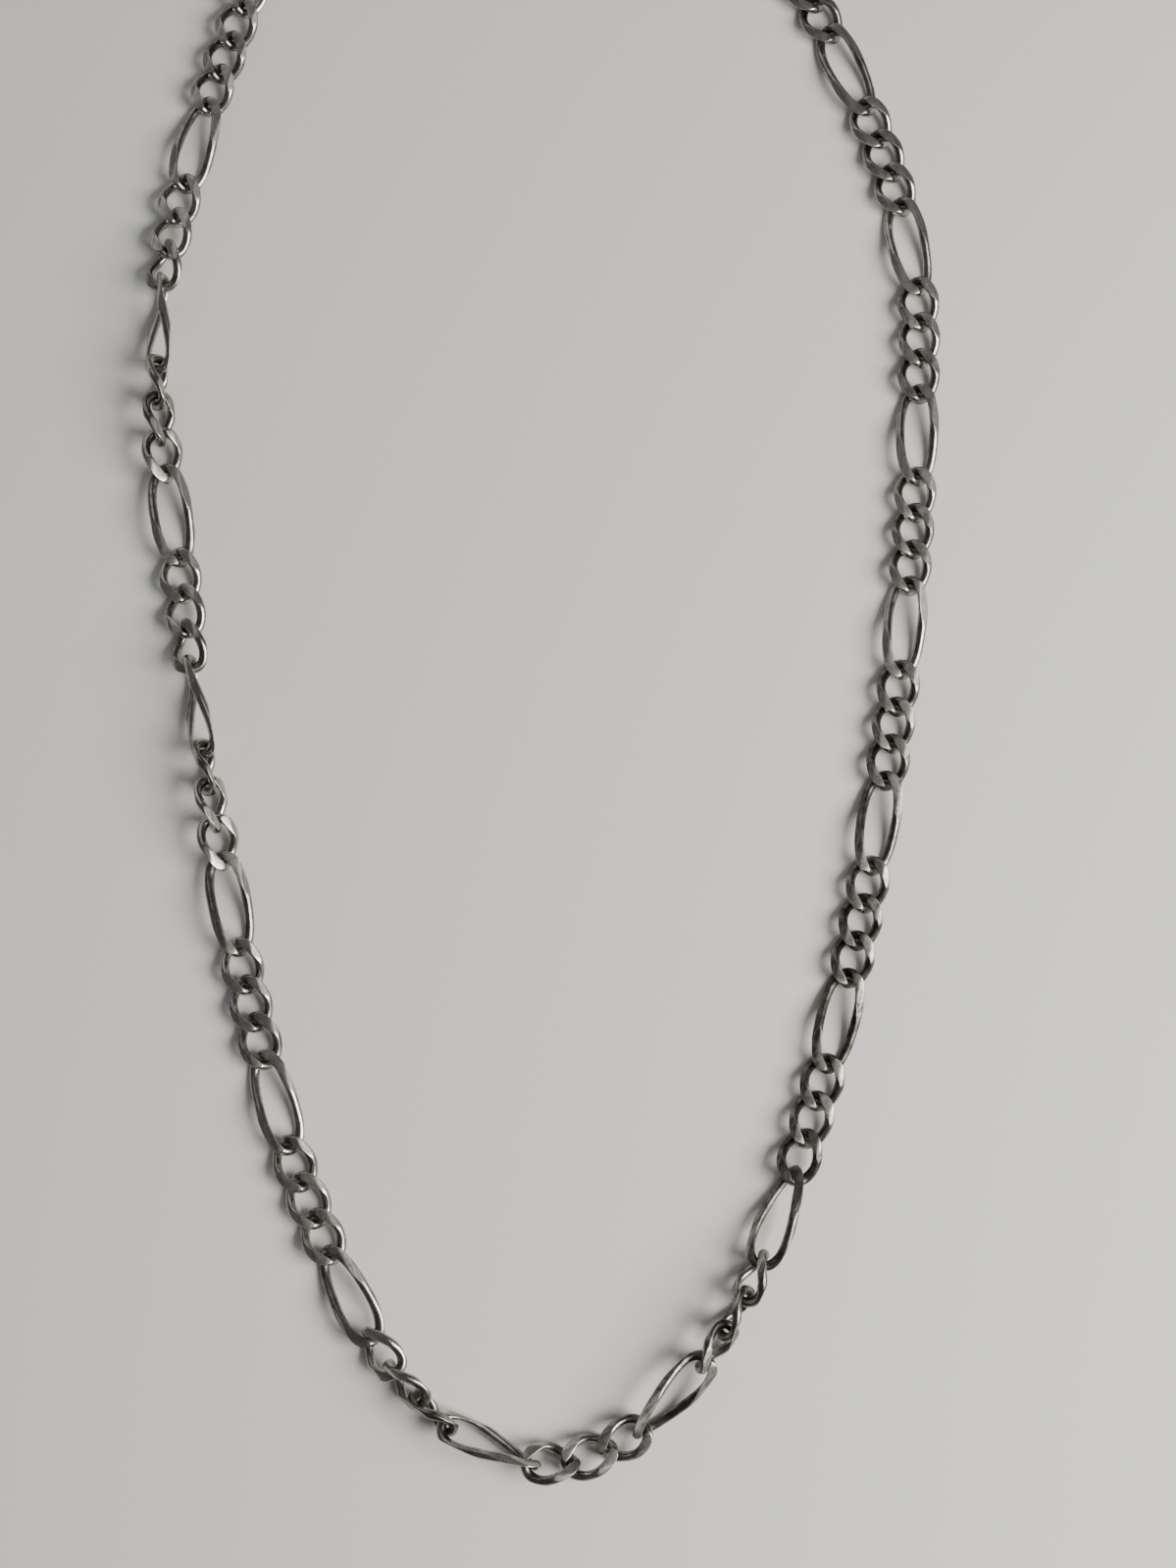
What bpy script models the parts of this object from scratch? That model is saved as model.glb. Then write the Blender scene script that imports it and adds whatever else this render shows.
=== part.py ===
"""Figaro curb-chain necklace, undone and laid in a U on a flat surface.

Twenty patterns of three short links and one long link, a lobster-claw clasp on a jump ring at the left
end, and the ring that it hooks into at the right end. The frame's origin is the middle of the necklace's
box, on the surface; +Z is up, and the two ends lie towards +Y.
"""

import math

import bmesh
import bpy
import numpy as np
from mathutils import Matrix, Vector

MM = 0.001

# The wire and the two sizes of link. LINK_WIDTH is over a round wire, and the facets lie 0.1 mm inside it on
# each side, which leaves 7.0 mm.
WIRE = 1.5 * MM
LINK_WIDTH = 7.2 * MM
SHORT_PITCH = 6.1 * MM
LONG_PITCH = 13.9 * MM
PLAY = 0.35 * MM
END_RADIUS = 2.4 * MM
FILED_HALF_HEIGHT = 1.2 * MM
QUARTER_TWIST = math.radians(-45)

# How the links are counted off into pieces
PATTERNS = 20
SHORTS_IN_PATTERN = 3
WHOLE_TRIOS = (1, 2, 3, 18, 19, 20)
ROOT_LINK = "long_link_12"  # near the middle of the chain, low on the right side of the U
BEAD_RADIUS = 0.55 * MM

# The rings at the two ends: each one's wire and mean radius, and how steeply it leans
RING_PLAY = 0.25 * MM
JUMP_WIRE = 0.85 * MM
JUMP_RADIUS = 2.35 * MM
JUMP_LEAN = math.radians(-62)
END_RING_WIRE = 1.1 * MM
END_RING_RADIUS = 2.5 * MM
END_RING_LEAN = math.radians(45)

# The lobster-claw clasp, in its own plane: X runs from the eye's centre to the claw's tip
EYE_RADIUS = 1.7 * MM
EYE_WIRE = 0.9 * MM
PIVOT = (3.4 * MM, 0.25 * MM)
RIVET_RADIUS = 0.35 * MM
RIVET_LENGTH = 2.7 * MM
RIVET_HOLE = 0.5 * MM
HOLE_CUT_LENGTH = 4 * RIVET_LENGTH
HUB_RADIUS = 0.9 * MM
HUB_THICKNESS = 0.9 * MM
SLOT_HEIGHT = 1.3 * MM
SLOT_FROM = (2.35 * MM, -1.45 * MM)
SLOT_TO = (7.6 * MM, 4.0 * MM)
# Each row: a point of the middle line, then half the width and half the thickness there, in millimetres
CLAW = (
    (1.5, 0.0, 0.7, 0.6), (2.4, 0.0, 1.7, 1.15), (3.6, -0.2, 2.15, 1.35), (5.3, -1.0, 1.95, 1.35),
    (7.3, -2.0, 1.15, 1.15), (9.3, -2.45, 0.85, 0.95), (11.2, -1.75, 0.8, 0.85), (12.1, -0.1, 0.75, 0.8),
    (11.6, 1.5, 0.65, 0.7), (10.6, 2.1, 0.4, 0.5),
)
LEVER_ARM = (
    (3.4, 0.25, 0.7, 0.45), (5.0, 1.05, 0.65, 0.5), (7.4, 1.45, 0.5, 0.5), (9.4, 1.3, 0.42, 0.45),
    (10.75, 1.0, 0.3, 0.35),
)
LEVER_NIB = ((4.6, 1.0, 0.5, 0.45), (4.3, 2.2, 0.45, 0.45), (3.9, 3.1, 0.5, 0.5), (3.75, 3.45, 0.3, 0.35))
SPRING_AT = (5.3 * MM, -1.15 * MM)
SPRING_LENGTH = 1.25 * MM
SPRING_RADIUS = 0.4 * MM
SPRING_WIRE = 0.16 * MM
SPRING_TURNS = 4
CLASP_DROOP = math.radians(8.3)

# How the necklace lies: its middle line in millimetres, and each half turn of the chain about that line
ROUTE = (
    (-40, 194), (-49, 163), (-58, 134), (-66, 108), (-70, 85), (-70, 65), (-66, 36), (-60, 0),
    (-53, -34), (-43, -65), (-31, -87.5), (-17, -100), (-4, -103), (8, -98), (20.5, -84), (31, -62),
    (40, -33), (47, 0), (52, 36), (54, 65), (54, 88), (49.5, 107), (41, 128), (31, 148), (20, 172),
    (0, 218),
)
ROUTE_START = 30 * MM
HALF_TURN_STEPS = (10, 35, 62, 90, 118, 145, 168)
HALF_TURNS_FROM = (9, 17, 31, 38)
FRAME_MIDDLE = (-7.608 * MM, 57.839 * MM)
LOWEST = 0.183 * MM

# Facets: enough for a working model
SHORT_SEGMENTS = 14
LONG_SEGMENTS = 16
WIRE_SIDES = 6
END_CROWDING = 0.32
RING_SEGMENTS = 20
CLASP_SIDES = 10
SPRING_STEPS = 40
SPRING_SIDES = 5
ROUTE_STEPS = 4000
SHARP_ANGLE = math.radians(40)
EMPTY_SIZE = 2 * MM
SMALL_TURN = 0.001


def link_surface(half_length, segments):
    """Rings of points round one link, which lies along X, and is open in Y.

    The middle line is an oval whose ends have END_RADIUS. It is twisted about X by a quarter turn from end
    to end, and the wire's surface is then filed flat at the same height above and below.
    """
    half_width = (LINK_WIDTH - WIRE) / 2
    fullness = math.sqrt(END_RADIUS * half_length) / half_width - 1

    def middle(turn):
        x = half_length * np.cos(turn)
        y = half_width * np.sin(turn) * (1 + fullness * np.cos(turn) ** 2)
        twist = QUARTER_TWIST * x / half_length
        return np.stack([x, y * np.cos(twist), y * np.sin(twist)], axis=-1), twist

    step = np.arange(segments) * 2 * math.pi / segments
    turn = step - END_CROWDING / 2 * np.sin(2 * step)
    centre, twist = middle(turn)
    along = middle(turn + SMALL_TURN)[0] - middle(turn - SMALL_TURN)[0]
    along /= np.linalg.norm(along, axis=1, keepdims=True)
    face = np.stack([0 * twist, -np.sin(twist), np.cos(twist)], axis=-1)
    out = np.cross(along, face)
    out /= np.linalg.norm(out, axis=1, keepdims=True)
    across = np.cross(out, along)
    angle = (np.arange(WIRE_SIDES) + 0.5) * 2 * math.pi / WIRE_SIDES
    rings = centre[:, None] + WIRE / 2 * (
        np.cos(angle)[None, :, None] * out[:, None] + np.sin(angle)[None, :, None] * across[:, None]
    )
    rings[..., 2] = np.clip(rings[..., 2], -FILED_HALF_HEIGHT, FILED_HALF_HEIGHT)
    return rings


def tube_mesh(name, rings, closed=True, place=Matrix()):
    """A mesh from a tube's rings of points, moved by the matrix place. An open tube gets capped ends."""
    shape = bmesh.new()
    rows = [[shape.verts.new(place @ Vector(point)) for point in ring] for ring in rings]
    count, sides = len(rows), len(rows[0])
    for i in range(count if closed else count - 1):
        for j in range(sides):
            k, m = (i + 1) % count, (j + 1) % sides
            shape.faces.new((rows[i][j], rows[k][j], rows[k][m], rows[i][m]))
    if not closed:
        shape.faces.new(rows[0])
        shape.faces.new(rows[-1])
    return finished(name, shape)


def finished(name, shape):
    """A smooth-shaded mesh from a bmesh, with its faces turned outwards."""
    bmesh.ops.recalc_face_normals(shape, faces=shape.faces[:])
    mesh = bpy.data.meshes.new(name)
    shape.to_mesh(mesh)
    shape.free()
    shade(mesh)
    return mesh


def shade(mesh):
    mesh.shade_smooth()
    mesh.set_sharp_from_angle(angle=SHARP_ANGLE)


def combined(name, base, operation, others):
    """The mesh left when the other meshes are added to the base, or cut from it."""
    worker = bpy.data.objects.new(name, base)
    bpy.context.scene.collection.objects.link(worker)
    helpers = []
    for other in others:
        helper = bpy.data.objects.new("helper", other)
        bpy.context.scene.collection.objects.link(helper)
        helpers.append(helper)
        modifier = worker.modifiers.new("combine", "BOOLEAN")
        modifier.operation = operation
        modifier.solver = "EXACT"
        modifier.object = helper
    graph = bpy.context.evaluated_depsgraph_get()
    mesh = bpy.data.meshes.new_from_object(worker.evaluated_get(graph))
    mesh.name = name
    for used in (worker, *helpers):
        bpy.data.objects.remove(used)
    shade(mesh)
    return mesh


def round_ring(radius, wire):
    """Rings of points round a wire ring in the XY plane, about its centre."""
    turn = np.arange(RING_SEGMENTS) * 2 * math.pi / RING_SEGMENTS
    angle = (np.arange(WIRE_SIDES) + 0.5) * 2 * math.pi / WIRE_SIDES
    reach = radius + wire / 2 * np.cos(angle)[None, :]
    height = np.broadcast_to(wire / 2 * np.sin(angle)[None, :], (RING_SEGMENTS, WIRE_SIDES))
    return np.stack([np.cos(turn)[:, None] * reach, np.sin(turn)[:, None] * reach, height], axis=-1)


def flat_horn(rows):
    """Rings of points along a bent, tapering horn in the XY plane, from rows such as CLAW's."""
    rows = np.array(rows) * MM
    middle = rows[:, :2]
    along = np.gradient(middle, axis=0)
    along /= np.linalg.norm(along, axis=1, keepdims=True)
    side = np.stack([-along[:, 1], along[:, 0]], axis=-1)
    angle = (np.arange(CLASP_SIDES) + 0.5) * 2 * math.pi / CLASP_SIDES
    plan = middle[:, None] + side[:, None] * (rows[:, 2:3] * np.cos(angle))[..., None]
    return np.concatenate([plan, (rows[:, 3:4] * np.sin(angle))[..., None]], axis=-1)


def cylinder(name, radius, length, sides, at=(0, 0)):
    """A cylinder along Z, centred on the XY plane."""
    shape = bmesh.new()
    bmesh.ops.create_cone(
        shape, cap_ends=True, segments=sides, radius1=radius, radius2=radius, depth=length,
        matrix=Matrix.Translation((*at, 0)),
    )
    return finished(name, shape)


def box(name, low, high, height):
    """A box over a rectangle of the XY plane, centred on that plane in Z."""
    shape = bmesh.new()
    size = (high[0] - low[0], high[1] - low[1], height)
    centre = ((low[0] + high[0]) / 2, (low[1] + high[1]) / 2, 0)
    bmesh.ops.create_cube(shape, size=1, matrix=Matrix.LocRotScale(centre, None, size))
    return finished(name, shape)


def metal(name, colour, roughness):
    """A plain metal, as a Principled material."""
    material = bpy.data.materials.new(name)
    material.use_nodes = True
    shader = material.node_tree.nodes["Principled BSDF"]
    shader.inputs["Base Color"].default_value = (*colour, 1)
    shader.inputs["Metallic"].default_value = 1
    shader.inputs["Roughness"].default_value = roughness
    return material


def smooth_route():
    """The laid line as closely spaced points in metres: a curve through ROUTE's points."""
    knots = np.array(ROUTE, float) * MM
    spans = np.linalg.norm(np.diff(knots, axis=0), axis=1)
    at = np.concatenate([[0], np.cumsum(spans)])
    slope = np.gradient(knots, at, axis=0)
    dense = np.linspace(0, at[-1], ROUTE_STEPS)
    i = np.clip(np.searchsorted(at, dense, side="right") - 1, 0, len(spans) - 1)
    h = spans[i][:, None]
    t = ((dense - at[i]) / spans[i])[:, None]
    line = (
        (2 * t**3 - 3 * t**2 + 1) * knots[i]
        + (t**3 - 2 * t**2 + t) * h * slope[i]
        + (3 * t**2 - 2 * t**3) * knots[i + 1]
        + (t**3 - t**2) * h * slope[i + 1]
    )
    return line


def link_kinds():
    """The chain's links in order from the clasp: the pattern's number, and whether each is long."""
    kinds = []
    for pattern in range(1, PATTERNS + 1):
        kinds += [(pattern, False)] * SHORTS_IN_PATTERN + [(pattern, True)]
    return kinds


def link_rolls(count):
    """Each link's roll about the laid line: it grows by half a turn at each place where the chain is turned."""
    rolls = np.zeros(count)
    for first in HALF_TURNS_FROM:
        steps = np.array(HALF_TURN_STEPS, float)
        rolls[first : first + len(steps)] += steps
        rolls[first + len(steps) :] += 180
    return np.radians(rolls)


def half_length(is_long):
    return ((LONG_PITCH if is_long else SHORT_PITCH) + WIRE + PLAY) / 2


def rest_height(is_long, roll):
    """How high a link's middle lies when it rests on the surface, rolled about its length by this much."""
    rings = link_surface(half_length(is_long), LONG_SEGMENTS if is_long else SHORT_SEGMENTS)
    return -(rings[..., 1] * math.sin(roll) + rings[..., 2] * math.cos(roll)).min()


def link_places():
    """Each link's world matrix, and the points where neighbours meet."""
    kinds = link_kinds()
    rolls = link_rolls(len(kinds))
    heights = np.array([rest_height(is_long, roll) for (_, is_long), roll in zip(kinds, rolls)])
    ends = (
        JUMP_RADIUS * math.sin(abs(JUMP_LEAN)) + JUMP_WIRE / 2,
        END_RING_RADIUS * math.sin(END_RING_LEAN) + END_RING_WIRE / 2,
    )
    meet_heights = LOWEST + np.maximum(np.append(heights, ends[1]), np.insert(heights, 0, ends[0]))
    line = smooth_route() - FRAME_MIDDLE
    at = int(np.argmax(np.linalg.norm(line - line[0], axis=1) >= ROUTE_START))
    meets = [np.append(line[at], meet_heights[0])]
    for (_, is_long), low, high in zip(kinds, meet_heights, meet_heights[1:]):
        advance = math.sqrt((LONG_PITCH if is_long else SHORT_PITCH) ** 2 - (high - low) ** 2)
        here = meets[-1][:2]
        at += int(np.argmax(np.linalg.norm(line[at:] - here, axis=1) >= advance))
        heading = (line[at] - here) / np.linalg.norm(line[at] - here)
        meets.append(np.append(here + heading * advance, high))
    places = []
    for roll, here, there in zip(rolls, meets, meets[1:]):
        along = Vector(there - here).normalized()
        across = Vector((0, 0, 1)).cross(along).normalized()
        turned = Matrix((along, across, along.cross(across))).transposed().to_4x4()
        places.append(Matrix.Translation((here + there) / 2) @ turned @ Matrix.Rotation(roll, 4, "X"))
    return places, meets


def hinge(name, position, axis):
    """An empty on a joint: its origin on the axis, and its Z along it."""
    empty = bpy.data.objects.new("hinge_" + name, None)
    empty.empty_display_size = EMPTY_SIZE
    bpy.context.scene.collection.objects.link(empty)
    turned = Vector((0, 0, 1)).rotation_difference(Vector(axis)).to_matrix().to_4x4()
    return empty, Matrix.Translation(position) @ turned


class Rig:
    """Places each piece under its joint's empty, and each empty under the piece that it turns on."""

    def __init__(self):
        self.world = {}

    def put(self, thing, place, parent=None):
        thing.parent = parent
        thing.matrix_local = self.world[parent.name].inverted() @ place if parent else place
        self.world[thing.name] = place

    def piece(self, name, mesh, material, place, parent=None, hinge_at=None, hinge_axis=None):
        """One sub-part. With a hinge, it swings about that axis on its parent."""
        thing = bpy.data.objects.new(name, mesh)
        bpy.context.scene.collection.objects.link(thing)
        if not mesh.materials:
            mesh.materials.append(material)
        holder = parent
        if hinge_at is not None:
            holder, turned = hinge(name, hinge_at, hinge_axis)
            self.put(holder, turned, parent)
        self.put(thing, place, holder)
        return thing


def chain_pieces():
    """The chain's pieces in order from the clasp: each one's name, and its first link and last."""
    pieces = []
    for pattern in range(1, PATTERNS + 1):
        first = (pattern - 1) * (SHORTS_IN_PATTERN + 1)
        if pattern in WHOLE_TRIOS:
            pieces.append((f"short_trio_{pattern:02}", first, first + 2))
        else:
            pieces.append((f"short_link_{pattern:02}", first, first))
            pieces.append((f"short_pair_{pattern:02}", first + 1, first + 2))
        pieces.append((f"long_link_{pattern:02}", first + 3, first + 3))
    return pieces


def wire_axis(place, reach, side):
    """The point and the direction of a link's wire at its far end (side 1) or its near end (side -1)."""
    lean = QUARTER_TWIST * side
    at = place @ Vector((side * reach, 0, 0))
    return at, place.to_3x3() @ Vector((0, math.cos(lean), math.sin(lean)))


def add_chain(rig, silver):
    """Every link. Each piece swings on the one next to it, on the side towards the root."""
    kinds = link_kinds()
    places, meets = link_places()
    link_meshes = {
        is_long: tube_mesh(
            "long_link" if is_long else "short_link",
            link_surface(half_length(is_long), LONG_SEGMENTS if is_long else SHORT_SEGMENTS),
        )
        for is_long in (False, True)
    }
    pieces = chain_pieces()
    root = [name for name, _, _ in pieces].index(ROOT_LINK)
    made = {}

    def add(order, toward_root):
        name, first, last = pieces[order]
        mesh = link_meshes[kinds[first][1]]
        if last > first:
            mesh = fused_links(name, places[first : last + 1], meets[first + 1 : last + 1])
        if not toward_root:
            made[order] = rig.piece(name, mesh, silver, places[first])
            return
        parent_order = order + toward_root
        touching = pieces[parent_order][1 if toward_root > 0 else 2]
        at, axis = wire_axis(places[touching], half_length(kinds[touching][1]), -toward_root)
        turn = 1 if order % 2 else -1
        made[order] = rig.piece(name, mesh, silver, places[first], made[parent_order], at, axis * turn)

    add(root, 0)
    for order in range(root - 1, -1, -1):
        add(order, 1)
    for order in range(root + 1, len(pieces)):
        add(order, -1)
    return made[0], made[len(pieces) - 1], places


def fused_links(name, places, meets):
    """Two or three short links as one solid, joined by a bead of metal where each hangs in the next."""
    to_local = places[0].inverted()
    rings = link_surface(half_length(False), SHORT_SEGMENTS)
    links = [tube_mesh("link", rings, place=to_local @ place) for place in places]
    beads = []
    for meet in meets:
        shape = bmesh.new()
        bmesh.ops.create_icosphere(
            shape, subdivisions=1, radius=BEAD_RADIUS, matrix=Matrix.Translation(to_local @ Vector(meet))
        )
        beads.append(finished("bead", shape))
    return combined(name, links[0], "UNION", beads + links[1:])


def add_end_ring(rig, silver, last_link, place):
    """The ring that the clasp hooks into, hanging in the last long link."""
    reach = half_length(True)
    at, axis = wire_axis(place, reach, 1)
    outward = END_RING_RADIUS - (WIRE + END_RING_WIRE) / 2 - RING_PLAY
    mesh = tube_mesh("end_ring", round_ring(END_RING_RADIUS, END_RING_WIRE))
    centre = place @ Matrix.Translation((reach + outward, 0, 0)) @ Matrix.Rotation(END_RING_LEAN, 4, "X")
    rig.piece("end_ring", mesh, silver, centre, last_link, at, axis)


def add_clasp(rig, silver, steel, first_link, place):
    """The jump ring in the first short link, and the lobster claw in the jump ring."""
    reach = half_length(False)
    at, axis = wire_axis(place, reach, -1)
    outward = JUMP_RADIUS - (WIRE + JUMP_WIRE) / 2 - RING_PLAY
    jump_place = place @ Matrix.Translation((-reach - outward, 0, 0)) @ Matrix.Rotation(JUMP_LEAN, 4, "X")
    mesh = tube_mesh("jump_ring", round_ring(JUMP_RADIUS, JUMP_WIRE))
    jump_ring = rig.piece("clasp_jump_ring", mesh, silver, jump_place, first_link, at, axis)

    ring_far_side = jump_place @ Vector((-JUMP_RADIUS, 0, 0))
    ring_axis = jump_place.to_3x3() @ Vector((0, 1, 0))
    to_eye = EYE_RADIUS - (JUMP_WIRE + EYE_WIRE) / 2 - RING_PLAY
    level = Matrix.Rotation(math.atan2(*(place.to_3x3() @ Vector((1, 0, 0))).yx), 4, "Z")
    clasp_place = (
        Matrix.Translation(ring_far_side)
        @ level
        @ Matrix.Rotation(math.pi, 4, "Z")
        @ Matrix.Rotation(CLASP_DROOP, 4, "Y")
        @ Matrix.Translation((to_eye, 0, 0))
    )
    eye = tube_mesh("eye", round_ring(EYE_RADIUS, EYE_WIRE))
    claw = tube_mesh("claw", flat_horn(CLAW), closed=False)
    slot = box("slot", SLOT_FROM, SLOT_TO, SLOT_HEIGHT)
    hole = cylinder("hole", RIVET_HOLE, HOLE_CUT_LENGTH, CLASP_SIDES, PIVOT)
    body = combined("clasp_body", combined("clasp_body", claw, "UNION", [eye]), "DIFFERENCE", [slot, hole])
    clasp = rig.piece("clasp_body", body, silver, clasp_place, jump_ring, ring_far_side, ring_axis)

    arm = tube_mesh("arm", flat_horn(LEVER_ARM), closed=False)
    nib = tube_mesh("nib", flat_horn(LEVER_NIB), closed=False)
    hub = cylinder("hub", HUB_RADIUS, HUB_THICKNESS, CLASP_SIDES, PIVOT)
    lever = combined("lever", combined("lever", arm, "UNION", [nib, hub]), "DIFFERENCE", [hole])
    pivot_at = clasp_place @ Vector((*PIVOT, 0))
    pivot_axis = clasp_place.to_3x3() @ Vector((0, 0, -1))
    rig.piece("clasp_lever", lever, silver, clasp_place, clasp, pivot_at, pivot_axis)

    rivet = cylinder("rivet", RIVET_RADIUS, RIVET_LENGTH, CLASP_SIDES, PIVOT)
    rig.piece("clasp_rivet", rivet, steel, clasp_place, clasp)

    turn = np.linspace(0, SPRING_TURNS * 2 * math.pi, SPRING_STEPS)
    rise = np.linspace(0, SPRING_LENGTH - SPRING_WIRE, SPRING_STEPS) + SPRING_WIRE / 2
    angle = np.arange(SPRING_SIDES) * 2 * math.pi / SPRING_SIDES
    radius = SPRING_RADIUS + SPRING_WIRE / 2 * np.cos(angle)[None, :]
    coil = np.stack(
        [
            SPRING_AT[0] + np.cos(turn)[:, None] * radius,
            SPRING_AT[1] + rise[:, None] + SPRING_WIRE / 2 * np.sin(angle)[None, :],
            np.sin(turn)[:, None] * radius,
        ],
        axis=-1,
    )
    rig.piece("clasp_spring", tube_mesh("spring", coil, closed=False), steel, clasp_place, clasp)


def main():
    for thing in list(bpy.data.objects):
        bpy.data.objects.remove(thing)
    silver = metal("tarnished silver", (0.36, 0.34, 0.31), 0.38)
    clasp_silver = metal("clasp silver", (0.42, 0.40, 0.37), 0.32)
    steel = metal("spring steel", (0.30, 0.30, 0.31), 0.35)
    rig = Rig()
    first_link, last_link, places = add_chain(rig, silver)
    add_end_ring(rig, clasp_silver, last_link, places[-1])
    add_clasp(rig, clasp_silver, steel, first_link, places[0])


main()
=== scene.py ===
"""The looks of a figaro curb-chain necklace, undone and laid in a U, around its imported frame."""

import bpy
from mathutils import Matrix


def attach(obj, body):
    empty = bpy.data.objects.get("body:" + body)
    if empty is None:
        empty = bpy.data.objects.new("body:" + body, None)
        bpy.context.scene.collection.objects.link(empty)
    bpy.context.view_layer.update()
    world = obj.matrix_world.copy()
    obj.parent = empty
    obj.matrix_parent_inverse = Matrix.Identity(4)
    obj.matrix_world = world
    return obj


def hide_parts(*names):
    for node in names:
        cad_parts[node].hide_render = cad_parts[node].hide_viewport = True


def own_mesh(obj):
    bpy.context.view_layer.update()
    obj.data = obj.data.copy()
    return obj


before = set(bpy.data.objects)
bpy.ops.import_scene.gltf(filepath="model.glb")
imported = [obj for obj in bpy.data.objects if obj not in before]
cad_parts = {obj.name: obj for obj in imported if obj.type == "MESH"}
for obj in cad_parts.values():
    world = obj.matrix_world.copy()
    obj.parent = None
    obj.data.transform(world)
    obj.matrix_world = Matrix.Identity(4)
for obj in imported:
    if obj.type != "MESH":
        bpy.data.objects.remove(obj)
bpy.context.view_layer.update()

import math

import bpy
import numpy as np
from mathutils import Vector

# ---------------------------------------------------------------------------------------------------------
# The line that the chain lies along. The necklace is undone and laid on a flat surface as an open U, and
# at four places it is turned over by half a turn, which takes seven links each time.
# ---------------------------------------------------------------------------------------------------------
MM = 0.001
ROUTE = np.array((
    (-40, 194), (-49, 163), (-58, 134), (-66, 108), (-70, 85), (-70, 65), (-66, 36), (-60, 0),
    (-53, -34), (-43, -65), (-31, -87.5), (-17, -100), (-4, -103), (8, -98), (20.5, -84), (31, -62),
    (40, -33), (47, 0), (52, 36), (54, 65), (54, 88), (49.5, 107), (41, 128), (31, 148), (20, 172),
    (0, 218),
), float) * MM
ROUTE_START = 30 * MM
ROUTE_STEPS = 4000
FRAME_MIDDLE = np.array((-7.608, 57.839)) * MM
HALF_TURN_STEPS = np.radians((10, 35, 62, 90, 118, 145, 168))
HALF_TURNS_FROM = (9, 17, 31, 38)


def curve_through(knots, count):
    """Count points on a cubic through the knots' rows: each knot's slope is its neighbours' difference."""
    spans = np.linalg.norm(np.diff(knots[:, :2], axis=0), axis=1)
    at = np.concatenate([[0], np.cumsum(spans)])
    slope = np.gradient(knots, at, axis=0)
    dense = np.linspace(0, at[-1], count)
    i = np.clip(np.searchsorted(at, dense, side="right") - 1, 0, len(spans) - 1)
    h = spans[i][:, None]
    t = ((dense - at[i]) / spans[i])[:, None]
    return (
        (2 * t**3 - 3 * t**2 + 1) * knots[i]
        + (t**3 - 2 * t**2 + t) * h * slope[i]
        + (3 * t**2 - 2 * t**3) * knots[i + 1]
        + (t**3 - t**2) * h * slope[i + 1]
    )


def unit(vectors):
    """Each vector divided by its own length."""
    return vectors / np.linalg.norm(vectors, axis=-1, keepdims=True)


# ---------------------------------------------------------------------------------------------------------
# The links, three short ones to each long one. Each is a loop of silver wire, soldered shut, given a quarter
# turn from end to end, and threaded in the next. The finished chain is pressed and filed flat on both sides,
# which leaves leaf-shaped flats, wider than the wire, on two opposite limbs of each link.
# ---------------------------------------------------------------------------------------------------------
PATTERNS = 20
SHORTS_IN_PATTERN = 3
WHOLE_TRIOS = (1, 2, 3, 18, 19, 20)
LINK_WIDTH = 7.0 * MM
SHORT_PITCH = 6.1 * MM
LONG_PITCH = 13.9 * MM
FRAME_WIRE = 1.5 * MM
WIRE = 1.51 * MM
PLAY = 0.35 * MM
END_RADIUS = 2.4 * MM
TWIST_AT_ENDS = math.radians(-45)
LOWEST = 0.03 * MM

# The filed flats lie this far from a link's middle, and the bevels this far out from it.
FILED_HALF_HEIGHT = 1.32 * MM
FILED_UNEVENLY = (0.045, 0.075)
FILING_SEED = 11
PRESSED_WIDER = 0.10
CAMBER_ACROSS = 0.035 * MM
CAMBER_ALONG = 0.10 * MM
CAMBER_FADES_OVER = 0.22 * MM
BEVEL_LEAN = math.radians(30)
BEVEL_REACH = 2.28 * MM
BEVEL_MARK_OVER = 0.03 * MM
RIDGE_AT = 0.02 * MM
RIDGE_HALF_WIDTH = 0.05 * MM

# The grid of a link's surface.
SHORT_SEGMENTS = 88
LONG_SEGMENTS = 128
END_CROWDING = 0.3
FLAT_POINTS = 7
SIDE_POINTS = 17
LEAST_FLAT = math.radians(8)
WORN_EDGE = math.radians(3)
SMALL_TURN = 1e-3

# Tarnish stays on the side that faces a link's middle, towards the ends where it meets the next link.
RECESS_FLATTENED = np.array([1, 1, 0.3])
RECESS_GAIN, RECESS_LIFT = 0.75, 0.35
CROSSING_GAIN, CROSSING_FROM = 2.6, 1.5


def half_length(is_long):
    """Half of a link's middle line, end to end. Links that meet overlap by one wire and the play."""
    return ((LONG_PITCH if is_long else SHORT_PITCH) + FRAME_WIRE + PLAY) / 2


def link_middle(turn, reach):
    """The wire's middle line: an oval in X and Y, twisted about X in proportion to X."""
    half_width = (LINK_WIDTH - FRAME_WIRE) / 2
    fullness = math.sqrt(END_RADIUS * reach) / half_width - 1
    x = reach * np.cos(turn)
    y = half_width * np.sin(turn) * (1 + fullness * np.cos(turn) ** 2)
    twist = TWIST_AT_ENDS * np.cos(turn)
    return np.stack([x, y * np.cos(twist), y * np.sin(twist)], axis=-1)


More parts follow.
